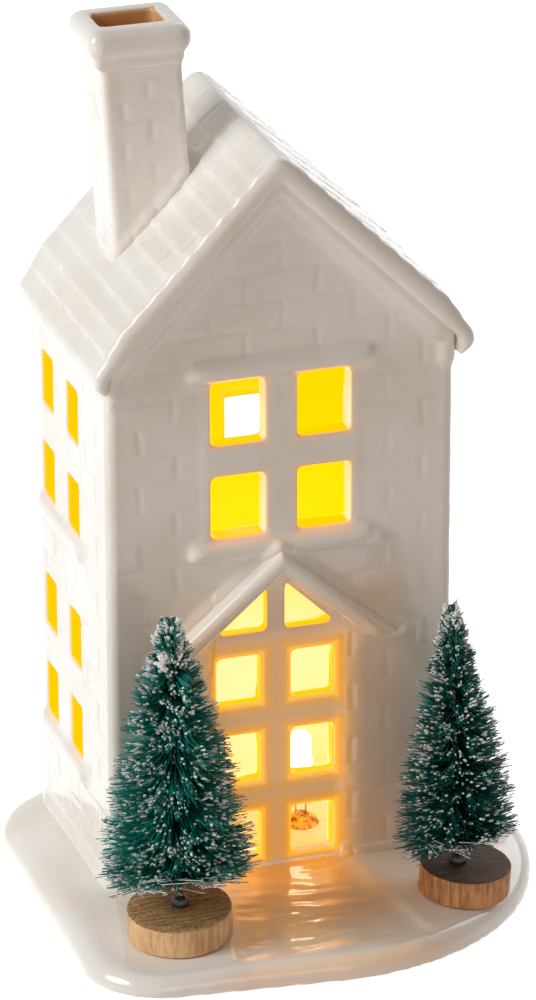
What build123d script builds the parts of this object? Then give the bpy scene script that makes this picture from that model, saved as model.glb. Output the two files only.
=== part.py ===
from build123d import *
from math import asin, atan2, cos, degrees, hypot, radians, sin, sqrt, tan
import os

# Ceramic village house with a battery light and two bottle-brush trees, in millimetres.
# The origin is under the middle of the base, +Z is up and the door faces -Y.

# Base: a low snow mound whose top is part of a very large ball
base_width = 119.2
base_depth = 116.0
base_crown = 8.8
mound_radius = 700.0
rim_round = 4.5
front_left_round = 19.5
front_left_setback = 4.1
back_left_round = 25.0
back_left_setback = 2.8
back_right_round = 29.0
back_right_setback = 1.0
foot_width = 9.0
foot_recess = 2.0
walk_sink = 0.7
walk_door_width = 31.0
walk_front_width = 47.0
walk_front_gap = 6.5

# House walls
house_width = 84.0
house_depth = 58.0
house_x = -3.1
house_front = -10.8
wall = 5.5
wall_corner_round = 2.5
pane_corner_round = 0.8

# Front windows above the hood
front_pane_width = 12.8
front_pane_height = 15.4
front_pane_pitch_x = 20.8
front_pane_low_z = 101.3
front_pane_pitch_z = 23.2

# Door: three rows of panes and two corner panes under the hood
door_x = -0.9
door_width = 31.8
door_sink = 1.5
door_pane_width = 10.4
door_pane_height = 12.1
door_pane_pitch_x = 18.0
door_pane_low_z = 15.85
door_pane_pitch_z = 20.2
door_rows = 3
corner_pane_gap = 4.4
corner_pane_width = 12.3
corner_pane_height = 11.8
corner_pane_z = 68.2

# Side windows, in a lower and an upper group of two rows
side_pane_width = 9.2
side_pane_height = 13.4
side_pane_pitch_y = 20.4
side_panes_from_back = 20.3
side_pane_pitch_z = 23.0
side_group_low_z = 37.6
side_group_pitch_z = 57.0

# Back windows, one group of two rows, as large as the front ones
back_pane_pitch_x = 19.0
back_pane_low_z = 98.0

# Moulded lintel and sill bars; the sides and the back have low sills alone
bar_height = 4.4
bar_proud = 2.4
bar_round = 1.9
bar_gap = 0.8
bar_overhang = 5.5
low_sill_proud = 1.3
low_sill_round = 0.9

# Roof
ridge_height = 188.0
ridge_shift = -1.5
eave_height = 140.5
eave_reach = 46.6
eave_bend = 10.0
eave_drop = 4.2
eave_return = 3.6
bend_round = 14.0
roof_thick = 5.5
verge_front = 4.5
verge_back = 1.8
ridge_round = 3.5
eave_round = 2.6
verge_round = 1.6
course_pitch = 5.9
course_step = 0.55
course_inset = 1.2
course_sink = 0.4

# Chimney
chimney_width = 19.5
chimney_depth = 16.0
chimney_x = -24.9
chimney_y = 20.2
chimney_lean = 4.2
chimney_top = 211.4
chimney_corner_round = 1.4
collar_width = 21.4
collar_depth = 17.8
collar_height = 3.4
collar_overlap = 1.0
rim_width = 24.6
rim_depth = 20.8
rim_height = 7.2
rim_edge_round = 3.3
flue_width = 15.0
flue_depth = 9.6
flue_shift = -0.6

# Door hood
hood_x = -1.3
hood_apex = 90.5
hood_reach = 29.4
hood_rise = 25.2
hood_thick = 4.5
hood_proud = 5.5
hood_round = 2.0

# Battery light, on its own axis
lamp_x = 4.9
lamp_y = 12.2
lamp_radius = 16.4
lamp_clearance = 0.35
lamp_wall = 1.4
lamp_top = 7.8
lamp_top_thick = 1.2
rib_count = 6
rib_radius = 0.5
rib_clearance = 0.08
rib_lead_in = 1.0
flange_radius = 20.0
flange_bottom = 0.5
cell_x = -3.5
cell_radius = 10.0
cell_height = 3.2
cell_low_round = 0.4
board_thick = 0.8
board_radius = 14.5
board_depth = 19.0
contact_thick = 0.3
contact_width = 5.0
contact_leaf = 12.0
cover_radius = 11.0
cover_clearance = 0.2
cover_seat_gap = 0.1
cover_pad_radius = 6.0
lug_reach = 1.2
lug_wall = 0.7
lug_height = 0.8
lug_clearance = 0.1
lug_angle = 18.0
lug_turn = 40.0
coin_slot_length = 13.0
coin_slot_width = 1.8
coin_slot_depth = 0.7
screw_x = 3.2
screw_y = 12.9
screw_radius = 0.9
screw_clearance = 0.05
screw_boss_radius = 1.8
screw_head_radius = 1.6
screw_head_height = 0.9
screw_length = 4.0
screw_tip_gap = 0.5
screw_slot = 0.4
switch_x = 10.3
switch_width = 3.6
switch_length = 8.6
switch_height = 3.5
switch_wall = 0.4
slider_foot_height = 0.8
slider_foot_length = 3.6
slider_width = 1.6
slider_length = 1.8
slider_proud = 0.25
slider_travel = 2.0
slider_clearance = 0.1
led_x = 3.2
led_y = -3.0
led_radius = 2.5
led_rim = 0.4
led_rim_height = 1.0
led_length = 8.6
led_seat = 23.4
lead_radius = 0.25
lead_pitch = 2.54
lead_hole_radius = 2.4
led_glue_radius = 4.4
led_glue_height = 2.8

# Trees: each disc's middle is set in from the base's side and front
disc_thick = 7.0
disc_edge_round = 0.5
stem_radius = 0.9
stem_clearance = 0.05
stem_depth = 5.0
core_radius = 0.9
core_sides = 6
strand_radius = 0.34
strand_pitch = 0.4
strand_sides = 3
strand_sink = 0.4
strand_lift = 4.0
front_lift = 26.0
tip_lift = 54.0
strand_crowding = 1.25
bristle_taper = 1.6
tip_reach = 1.5
bristle_end_gap = 1.0
glue_radius = 2.1
glue_lift = 0.5
left_tree_from_side = 23.9
left_tree_from_front = 23.4
left_disc_radius = 12.4
left_stem_shift = 0.0
left_tree_height = 74.5
left_tree_lean = -1.6
left_bristle_start = 5.0
left_bristle_radius = 17.0
left_skirt_tilt = 0.0
right_tree_from_side = 25.6
right_tree_from_front = 23.7
right_disc_radius = 10.9
right_stem_shift = -1.5
right_tree_height = 68.0
right_tree_lean = -2.0
right_bristle_start = 4.0
right_bristle_radius = 13.2
right_skirt_tilt = 9.0

past = 1.0      # how far a cut runs past the face it opens
house_back = house_front + house_depth
house_left = house_x - house_width / 2
house_right = house_x + house_width / 2
ridge_x = house_x + ridge_shift
left_tree_x = left_tree_from_side - base_width / 2
left_tree_y = left_tree_from_front - base_depth / 2
right_tree_x = base_width / 2 - right_tree_from_side
right_tree_y = right_tree_from_front - base_depth / 2


def front_prism(sketch, y_from, y_to):
    """A sketch drawn in X and Z, made solid from one depth to another."""
    return extrude(Plane.XZ.offset(-y_from) * sketch, y_to - y_from, dir=(0, 1, 0))


def side_prism(sketch, x_from, x_to):
    """A sketch drawn in Y and Z, made solid from one x to another."""
    return extrude(Plane.YZ.offset(x_from) * sketch, x_to - x_from, dir=(1, 0, 0))


def upright(sketch, height):
    """A sketch drawn in X and Y, made solid upwards."""
    return extrude(sketch, height, dir=(0, 0, 1))


def disc(x, y, z, radius, height):
    """An upright cylinder that stands on z."""
    return Pos(x, y, z + height / 2) * Cylinder(radius, height)


def block(x, y, z, width, depth, height):
    """A box that stands on z."""
    return Pos(x, y, z + height / 2) * Box(width, depth, height)


def mound_height(x, y):
    """Height of the base's domed top over one place."""
    return base_crown - mound_radius + sqrt(mound_radius**2 - x**2 - y**2)


# Base
def base_outline():
    """The base from above: the hull of one round at each corner."""
    half_w = base_width / 2
    half_d = base_depth / 2
    front_right_round = min(half_w, half_d)
    rounds = [
        (half_w - front_right_round, front_right_round - half_d, front_right_round),
        (front_left_round - half_w, front_left_setback + front_left_round - half_d, front_left_round),
        (back_left_round - half_w, half_d - back_left_setback - back_left_round, back_left_round),
        (half_w - back_right_round, half_d - back_right_setback - back_right_round, back_right_round),
    ]
    return make_hull([(Pos(x, y) * Circle(r)).edge() for x, y, r in rounds])


mound_ball = Pos(0, 0, base_crown - mound_radius) * Sphere(mound_radius)


def make_base():
    outline = base_outline()
    body = upright(outline, base_crown + past) & mound_ball
    rim = body.faces().sort_by(Axis.Z)[-1].outer_wire().edges()
    body = fillet(rim, rim_round)
    walk_end = -base_depth / 2 + walk_front_gap
    walk = Polygon(
        (house_x - walk_door_width / 2, house_front),
        (house_x - walk_front_width / 2, walk_end),
        (house_x + walk_front_width / 2, walk_end),
        (house_x + walk_door_width / 2, house_front),
        align=None,
    )
    walk_floor = Pos(0, 0, base_crown - mound_radius) * Sphere(mound_radius - walk_sink)
    body -= upright(walk, base_crown + past) - walk_floor
    body -= upright(offset(outline, -foot_width), foot_recess)
    return body - disc(lamp_x, lamp_y, 0, lamp_radius + lamp_clearance, base_crown + past)


# Roof lines, in X and Z
def slope(side):
    """Eave point, direction up the slope and outward normal of the left (-1) or right (1) slope."""
    eave = Vector(house_x + side * eave_reach, eave_height)
    along = (Vector(ridge_x, ridge_height) - eave).normalized()
    return eave, along, Vector(side * along.Y, abs(along.X))


def under_roof(x, side):
    """Height of a slope's underside at one x."""
    eave, along, out = slope(side)
    low = eave - out * roof_thick
    return low.Y + (x - low.X) * along.Y / along.X


def under_ridge():
    """Where the two undersides meet."""
    low_l, along_l, out_l = slope(-1)
    low_r, along_r, out_r = slope(1)
    grade_l = along_l.Y / along_l.X
    grade_r = along_r.Y / along_r.X
    a = low_l - out_l * roof_thick
    b = low_r - out_r * roof_thick
    x = (b.Y - a.Y + grade_l * a.X - grade_r * b.X) / (grade_l - grade_r)
    return Vector(x, under_roof(x, -1))


# House walls
def pane(x, z, width, height):
    return Pos(x, z) * RectangleRounded(width, height, pane_corner_round)


def side_rows():
    """Heights of the middle of each row of side panes."""
    lows = (side_group_low_z, side_group_low_z + side_group_pitch_z)
    return [low + row * side_pane_pitch_z for low in lows for row in range(2)]


def front_panes():
    panes = []
    for side in (-1, 1):
        x = house_x + side * front_pane_pitch_x / 2
        for row in range(2):
            z = front_pane_low_z + row * front_pane_pitch_z
            panes.append(pane(x, z, front_pane_width, front_pane_height))
        x = house_x + door_x + side * door_pane_pitch_x / 2
        for row in range(door_rows):
            z = door_pane_low_z + row * door_pane_pitch_z
            panes.append(pane(x, z, door_pane_width, door_pane_height))
        x = house_x + door_x + side * corner_pane_gap / 2
        panes.append(Polygon(
            (x, corner_pane_z),
            (x + side * corner_pane_width, corner_pane_z),
            (x, corner_pane_z + corner_pane_height),
            align=None,
        ))
    return panes


def bar(length, proud, edge):
    """A lintel or sill along X, half of it inside the wall."""
    body = Box(length, 2 * proud, bar_height)
    return fillet(body.edges(), edge)


def sill_z(pane_z, pane_height):
    """Height of the middle of a sill under a row of panes."""
    return pane_z - pane_height / 2 - bar_gap - bar_height / 2


def wall_bars():
    length = front_pane_pitch_x + front_pane_width + 2 * bar_overhang
    front = bar(length, bar_proud, bar_round)
    top_row = front_pane_low_z + front_pane_pitch_z
    lintel_z = top_row + front_pane_height / 2 + bar_gap + bar_height / 2
    front_sill_z = sill_z(front_pane_low_z, front_pane_height)
    bars = [Pos(house_x, house_front, z) * front for z in (front_sill_z, lintel_z)]
    length = back_pane_pitch_x + front_pane_width + bar_overhang
    back = bar(length, low_sill_proud, low_sill_round)
    bars.append(Pos(house_x, house_back, sill_z(back_pane_low_z, front_pane_height)) * back)
    length = side_pane_pitch_y + side_pane_width + bar_overhang
    side = Rot(0, 0, 90) * bar(length, low_sill_proud, low_sill_round)
    for low in (side_group_low_z, side_group_low_z + side_group_pitch_z):
        for x in (house_left, house_right):
            bars.append(Pos(x, house_back - side_panes_from_back, sill_z(low, side_pane_height)) * side)
    return bars


def hood_under(x):
    """Height of the hood's underside at a distance from its middle."""
    angle = atan2(hood_rise, hood_reach)
    return hood_apex - hood_thick / cos(angle) - abs(x) * tan(angle)


def make_walls():
    ridge = under_ridge()
    profile = Polygon(
        (house_left, 0),
        (house_right, 0),
        (house_right, under_roof(house_right, 1)),
        (ridge.X, ridge.Y),
        (house_left, under_roof(house_left, -1)),
        align=None,
    )
    body = front_prism(profile, house_front, house_back)
    corners = body.edges().filter_by(Axis.Z)
    body = fillet(corners, wall_corner_round)
    body -= block(house_x, house_front + house_depth / 2, 0,
                  house_width - 2 * wall, house_depth - 2 * wall, ridge_height)
    left = house_x + door_x - door_width / 2
    right = house_x + door_x + door_width / 2
    door = Polygon(
        (left, 0),
        (right, 0),
        (right, hood_under(right - house_x - hood_x)),
        (house_x + hood_x, hood_under(0)),
        (left, hood_under(left - house_x - hood_x)),
        align=None,
    )
    body -= front_prism(door, house_front - past, house_front + door_sink)
    body += wall_bars()
    cuts = [front_prism(p, house_front - past, house_front + wall + past) for p in front_panes()]
    for side in (-1, 1):
        y = house_back - side_panes_from_back + side * side_pane_pitch_y / 2
        for z in side_rows():
            through = pane(y, z, side_pane_width, side_pane_height)
            cuts.append(side_prism(through, house_left - past, house_right + past))
        x = house_x + side * back_pane_pitch_x / 2
        for row in range(2):
            back = pane(x, back_pane_low_z + row * front_pane_pitch_z, front_pane_width, front_pane_height)
            cuts.append(front_prism(back, house_back - wall - past, house_back + past))
    body -= cuts
    return body - mound_ball


# Roof
def eave_lines(side):
    """The bend near one eave, the tip that hangs below it, and the return's foot and top on the wall."""
    eave, along, out = slope(side)
    tip = eave - Vector(0, eave_drop)
    wall_x = house_x + side * house_width / 2
    foot = Vector(wall_x, tip.Y - eave_return)
    return eave + along * eave_bend, tip, foot, Vector(wall_x, under_roof(wall_x, side))


def corner(face, point):
    """The corner of a face that lies nearest to a point."""
    return face.vertices().sort_by_distance((point.X, point.Y, 0))[0]


def roof_slab():
    left_bend, left_tip, left_foot, left_top = eave_lines(-1)
    right_bend, right_tip, right_foot, right_top = eave_lines(1)
    ridge = Vector(ridge_x, ridge_height)
    outline = [left_tip, left_bend, ridge, right_bend, right_tip, right_foot, right_top, under_ridge(),
               left_top, left_foot]
    profile = Polygon(*[(p.X, p.Y) for p in outline], align=None)
    rounds = [(ridge, ridge_round), (left_bend, bend_round), (right_bend, bend_round),
              (left_tip, eave_round), (right_tip, eave_round)]
    for point, radius in rounds:
        profile = fillet(corner(profile, point), radius)
    slab = front_prism(profile, house_front - verge_front, house_back + verge_back)
    rims = slab.faces().sort_by(Axis.Y)
    edges = rims[0].outer_wire().edges() + rims[-1].outer_wire().edges()
    return fillet(edges, verge_round)


def shingle_courses():
    """Wedges on both slopes, each course thick at its lower edge."""
    wedges = []
    for side in (-1, 1):
        bend, tip = eave_lines(side)[:2]
        ridge = Vector(ridge_x, ridge_height)
        runs = [(tip, bend, eave_round, 0), (bend, ridge, 0, ridge_round)]
        for low_end, high_end, low_gap, high_gap in runs:
            run = high_end - low_end
            along = run.normalized()
            out = Vector(side * along.Y, abs(along.X))
            length = run.length - low_gap - high_gap
            courses = round(length / course_pitch)
            for course in range(courses):
                low = low_end + along * (low_gap + length * course / courses)
                high = low + along * (length / courses)
                points = [low - out * course_sink, low + out * course_step, high, high - out * course_sink]
                wedge = Polygon(*[(p.X, p.Y) for p in points], align=None)
                wedges.append(front_prism(wedge, house_front - verge_front + course_inset,
                                          house_back + verge_back - course_inset))
    return wedges


# Chimney
def chimney_shaft(width, depth, corner):
    """A leaning upright from eave height, inside the roof, to the top."""
    low = Pos(chimney_x, chimney_y, eave_height) * RectangleRounded(width, depth, corner)
    high = Pos(chimney_x - chimney_lean, chimney_y, chimney_top) * RectangleRounded(width, depth, corner)
    return loft([low, high], ruled=True)


def collar(width, depth, low, height, edge):
    """One rounded band round the chimney's top."""
    band = block(chimney_x - chimney_lean, chimney_y, low, width, depth, height)
    return fillet(band.edges(), edge)


def make_chimney(roof_body):
    rim_low = chimney_top - rim_height
    body = chimney_shaft(chimney_width, chimney_depth, chimney_corner_round)
    collar_low = rim_low - collar_height + collar_overlap
    body += collar(collar_width, collar_depth, collar_low, collar_height, chimney_corner_round)
    body += collar(rim_width, rim_depth, rim_low, rim_height, rim_edge_round)
    body -= flue()
    above_and_below = body - roof_body
    return above_and_below.solids().sort_by(Axis.Z)[-1]


def flue():
    """The open flue, past both ends of the chimney."""
    hole = chimney_shaft(flue_width, flue_depth, chimney_corner_round)
    mouth = RectangleRounded(flue_width, flue_depth, chimney_corner_round)
    hole += Pos(chimney_x - chimney_lean, chimney_y, chimney_top) * upright(mouth, past)
    return Pos(flue_shift, 0, 0) * hole


# Door hood
def make_hood(wall_body):
    angle = atan2(hood_rise, hood_reach)
    low = hood_apex - hood_rise
    cut = hood_thick / sin(angle)
    middle = house_x + hood_x
    profile = Polygon(
        (middle, hood_apex),
        (middle + hood_reach, low),
        (middle + hood_reach - cut, low),
        (middle, hood_under(0)),
        (middle - hood_reach + cut, low),
        (middle - hood_reach, low),
        align=None,
    )
    body = front_prism(profile, house_front - hood_proud, house_front)
    face = body.faces().sort_by(Axis.Y)[0]
    body = fillet(face.outer_wire().edges(), hood_round)
    return body - wall_body


# Battery light, drawn on its own axis
plate_top = foot_recess
board_top = lamp_top - lamp_top_thick
board_bottom = board_top - board_thick
cell_top = board_bottom - contact_thick
cell_bottom = cell_top - cell_height
screw_places = [(screw_x, -screw_y), (screw_x, screw_y)]


def make_lamp_housing():
    cup = disc(0, 0, plate_top, lamp_radius, lamp_top - plate_top)
    cup -= disc(0, 0, plate_top, lamp_radius - lamp_wall, board_top - plate_top)
    for x, y in screw_places:
        cup += disc(x, y, plate_top, screw_boss_radius, board_top - plate_top)
        cup -= disc(x, y, plate_top, screw_radius + screw_clearance, screw_length)
    rib_place = lamp_radius + lamp_clearance - rib_clearance - rib_radius
    for index in range(rib_count):
        turn = 360 / rib_count * index
        cup += Rot(0, 0, turn) * disc(rib_place, 0, plate_top, rib_radius, lamp_top - plate_top - rib_lead_in)
    return cup - disc(led_x, led_y, board_top, lead_hole_radius, lamp_top_thick)


def lug_sector(inner, outer, low, high):
    """A ring sector on the cover's axis, centred on +Y."""
    ring = disc(0, 0, low, outer, high - low) - disc(0, 0, low, inner, high - low)
    half = radians(lug_angle / 2)
    reach = 2 * outer
    wedge = Polygon((0, 0), (reach * sin(half), reach * cos(half)), (-reach * sin(half), reach * cos(half)),
                    align=None)
    return ring & (Pos(0, 0, low) * upright(wedge, high - low))


def make_bottom_plate():
    height = plate_top - flange_bottom
    plate = disc(0, 0, flange_bottom, flange_radius, height)
    opening = disc(0, 0, flange_bottom, cover_radius + cover_clearance, height)
    notch_reach = cover_radius + lug_reach + cover_clearance
    for side in (0, 180):
        notch = lug_sector(cover_radius - lug_wall, notch_reach, flange_bottom, plate_top)
        opening += Rot(0, 0, side + lug_turn) * notch
    plate -= Pos(cell_x, 0, 0) * opening
    slot_length = slider_length + slider_travel + 2 * slider_clearance
    plate -= block(switch_x, 0, flange_bottom, slider_width + 2 * slider_clearance, slot_length, height)
    for x, y in screw_places:
        plate -= disc(x, y, flange_bottom, screw_radius + screw_clearance, height)
        plate -= disc(x, y, flange_bottom, screw_head_radius + screw_clearance, screw_head_height)
    return plate


def make_screws():
    screws = []
    for x, y in screw_places:
        screw = disc(x, y, flange_bottom, screw_head_radius, screw_head_height)
        tip = plate_top + screw_length - screw_tip_gap
        shank_low = flange_bottom + screw_head_height
        screw += disc(x, y, shank_low, screw_radius, tip - shank_low)
        screw -= block(x, y, flange_bottom, 2 * screw_radius, screw_slot, screw_slot)
        screw -= block(x, y, flange_bottom, screw_slot, 2 * screw_radius, screw_slot)
        screws.append(screw)
    return Compound(screws)


def make_battery_cover():
    cover = disc(0, 0, flange_bottom, cover_radius, plate_top - flange_bottom)
    cover += disc(0, 0, plate_top, cover_pad_radius, cell_bottom - cover_seat_gap - plate_top)
    lug_low = plate_top + lug_clearance
    for side in (0, 180):
        post = lug_sector(cover_radius - lug_wall, cover_radius, flange_bottom, lug_low + lug_height)
        lug = lug_sector(cover_radius - lug_wall, cover_radius + lug_reach, lug_low, lug_low + lug_height)
        cover += Rot(0, 0, side) * (post + lug)
    cover -= block(0, 0, flange_bottom, coin_slot_length, coin_slot_width, coin_slot_depth)
    return Pos(cell_x, 0, 0) * cover


def make_coin_cell():
    cell = disc(cell_x, 0, cell_bottom, cell_radius, cell_height)
    return fillet(cell.edges().filter_by(GeomType.CIRCLE), cell_low_round)


def make_contacts():
    rim = cell_x - cell_radius
    positive = block(rim - contact_thick / 2, 0, cell_bottom, contact_thick, contact_width,
                     board_bottom - cell_bottom)
    negative = block(cell_x, 0, cell_top, contact_leaf, contact_width, contact_thick)
    return positive, negative


def make_board():
    board = disc(0, 0, board_bottom, board_radius, board_thick)
    return board & block(0, 0, board_bottom, 2 * board_radius, board_depth, board_thick)


def make_switch():
    low = board_bottom - switch_height
    case = block(switch_x, 0, low, switch_width, switch_length, switch_height)
    foot_width_inside = switch_width - 2 * switch_wall
    foot_room = slider_foot_length + slider_travel + 2 * slider_clearance
    case -= block(switch_x, 0, low, foot_width_inside, foot_room, slider_foot_height + slider_clearance)
    at_on = slider_travel / 2
    slider = block(switch_x, at_on, low, foot_width_inside - 2 * slider_clearance, slider_foot_length,
                   slider_foot_height)
    knob_low = flange_bottom - slider_proud
    slider += block(switch_x, at_on, knob_low, slider_width, slider_length, low - knob_low)
    return case, slider


def make_led():
    straight = led_length - led_radius - led_rim_height
    lens = disc(led_x, led_y, led_seat, led_radius + led_rim, led_rim_height)
    lens += disc(led_x, led_y, led_seat + led_rim_height, led_radius, straight)
    lens += Pos(led_x, led_y, led_seat + led_rim_height + straight) * Sphere(led_radius)
    leads = []
    for side in (-1, 1):
        leads.append(disc(led_x + side * lead_pitch / 2, led_y, board_top, lead_radius, led_seat - board_top))
    return lens, Compound(leads)


def make_led_glue(leads):
    ball_radius = (led_glue_radius**2 + led_glue_height**2) / (2 * led_glue_height)
    blob = Pos(led_x, led_y, lamp_top + led_glue_height - ball_radius) * Sphere(ball_radius)
    blob &= disc(led_x, led_y, lamp_top, led_glue_radius, led_glue_height)
    return blob - leads.solids()


# Trees
def tree_axis(x, y, lean):
    """Place and tilt of the stem's foot on the disc's top."""
    ground = mound_height(x, y)
    return Pos(x, y, ground + disc_thick) * Rot(0, lean, 0)


def make_disc(x, y, radius, stem_x, lean):
    """A sawn disc that lies flat on the mound, drilled for the stem."""
    away = hypot(x, y)
    tilt = degrees(asin(away / mound_radius))
    turn = degrees(atan2(y, x))
    sag = radius**2 / (2 * mound_radius)
    body = Pos(0, 0, disc_thick / 2 - sag) * Cylinder(radius, disc_thick)
    body = fillet(body.edges().filter_by(GeomType.CIRCLE), disc_edge_round)
    body = Pos(x, y, mound_height(x, y)) * Rot(0, 0, turn) * Rot(0, tilt, 0) * body
    hole = disc(0, 0, -stem_depth, stem_radius + stem_clearance, 2 * stem_depth)
    return body - mound_ball - tree_axis(stem_x, y, lean) * hole


def make_stem(x, y, lean, bristle_start):
    wire = disc(0, 0, -stem_depth, stem_radius, stem_depth + bristle_start)
    return tree_axis(x, y, lean) * wire


def make_tree_glue(x, y, lean, wood):
    """A glue bead round the stem, resting on the disc."""
    bead = Pos(0, 0, glue_lift) * Sphere(glue_radius)
    bead -= disc(0, 0, -stem_depth, stem_radius, 2 * stem_depth)
    bead -= disc(0, 0, -stem_depth, 2 * glue_radius, stem_depth)
    return tree_axis(x, y, lean) * bead - wood


def make_bristles(x, y, lean, start, height, radius, skirt_tilt):
    """Strands round a core: long at the foot, where those in front rise, short and steep at the tip."""
    top = height - tip_reach * sin(radians(tip_lift)) + bristle_end_gap
    core = Pos(0, 0, start) * upright(RegularPolygon(core_radius, core_sides), top - start)
    golden = 180 * (3 - sqrt(5))
    strand_span = top - start - 2 * bristle_end_gap
    count = round(strand_span / strand_pitch)
    strands = []
    for index in range(count):
        share = ((index + 0.5) / count) ** strand_crowding
        level = start + bristle_end_gap + strand_span * share
        turn = golden * index
        reach = radius * (1 - share**bristle_taper) + tip_reach
        lift = strand_lift + (tip_lift - strand_lift) * share
        lift += (1 - share) ** 2 * (front_lift * abs(sin(radians(turn))) + skirt_tilt * cos(radians(turn)))
        length = reach - strand_sink
        strand = upright(RegularPolygon(strand_radius, strand_sides), length)
        strand = Rot(0, 90 - lift, 0) * Pos(0, 0, strand_sink) * strand
        strands.append(Pos(0, 0, level) * Rot(0, 0, turn) * strand)
    return tree_axis(x, y, lean) * core.fuse(*strands)


def save(name, shape):
    export_step(shape, os.path.join("parts", name + ".step"))


os.makedirs("parts", exist_ok=True)

walls = make_walls()
slab = roof_slab()
slab = slab + shingle_courses()
roof = slab - flue()
save("base_plinth", make_base())
save("house_walls", walls)
save("roof", roof)
save("chimney", make_chimney(slab))
save("door_hood", make_hood(walls))

lamp_place = Pos(lamp_x, lamp_y, 0)
positive, negative = make_contacts()
switch_body, switch_slider = make_switch()
led_lens, led_leads = make_led()
lamp_pieces = {
    "lamp_housing": make_lamp_housing(),
    "lamp_bottom_plate": make_bottom_plate(),
    "plate_screws": make_screws(),
    "battery_cover": make_battery_cover(),
    "coin_cell": make_coin_cell(),
    "positive_contact": positive,
    "negative_contact": negative,
    "circuit_board": make_board(),
    "switch_body": switch_body,
    "switch_slider": switch_slider,
    "led_lens": led_lens,
    "led_leads": led_leads,
    "led_glue": make_led_glue(led_leads),
}
for name, shape in lamp_pieces.items():
    save(name, lamp_place * shape)

trees = [
    ("left_tree", left_tree_x, left_tree_y, left_disc_radius, left_stem_shift, left_tree_lean,
     left_bristle_start, left_tree_height, left_bristle_radius, left_skirt_tilt),
    ("right_tree", right_tree_x, right_tree_y, right_disc_radius, right_stem_shift, right_tree_lean,
     right_bristle_start, right_tree_height, right_bristle_radius, right_skirt_tilt),
]
for name, x, y, disc_radius, stem_shift, lean, start, height, radius, skirt_tilt in trees:
    stem_x = x + stem_shift
    wood = make_disc(x, y, disc_radius, stem_x, lean)
    save(name + "_disc", wood)
    save(name + "_stem", make_stem(stem_x, y, lean, start))
    save(name + "_glue", make_tree_glue(stem_x, y, lean, wood))
    save(name + "_bristles", make_bristles(stem_x, y, lean, start, height, radius, skirt_tilt))
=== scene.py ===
import math

import bmesh
import bpy
from mathutils import Matrix, Vector
from mathutils.bvhtree import BVHTree


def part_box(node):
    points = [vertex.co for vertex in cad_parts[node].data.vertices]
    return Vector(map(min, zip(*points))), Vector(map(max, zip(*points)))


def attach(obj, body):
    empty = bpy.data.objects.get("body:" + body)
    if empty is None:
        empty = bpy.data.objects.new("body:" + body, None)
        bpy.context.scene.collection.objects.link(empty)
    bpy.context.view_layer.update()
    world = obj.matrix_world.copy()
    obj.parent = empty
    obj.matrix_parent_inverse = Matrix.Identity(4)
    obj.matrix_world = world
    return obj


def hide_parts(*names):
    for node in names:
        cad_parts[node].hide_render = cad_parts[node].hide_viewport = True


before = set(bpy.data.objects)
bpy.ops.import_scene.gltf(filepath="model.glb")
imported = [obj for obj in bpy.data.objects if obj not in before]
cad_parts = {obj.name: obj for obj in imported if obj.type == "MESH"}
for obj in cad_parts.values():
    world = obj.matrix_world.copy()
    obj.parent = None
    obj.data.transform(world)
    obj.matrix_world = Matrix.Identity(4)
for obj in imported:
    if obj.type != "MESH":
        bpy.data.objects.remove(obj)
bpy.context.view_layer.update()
scene = bpy.context.scene
scene.view_settings.view_transform = "Standard"
mm = 0.001
perMetre = 1000.0  # mm in a metre
print("frame loaded:", len(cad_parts), "nodes")


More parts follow.
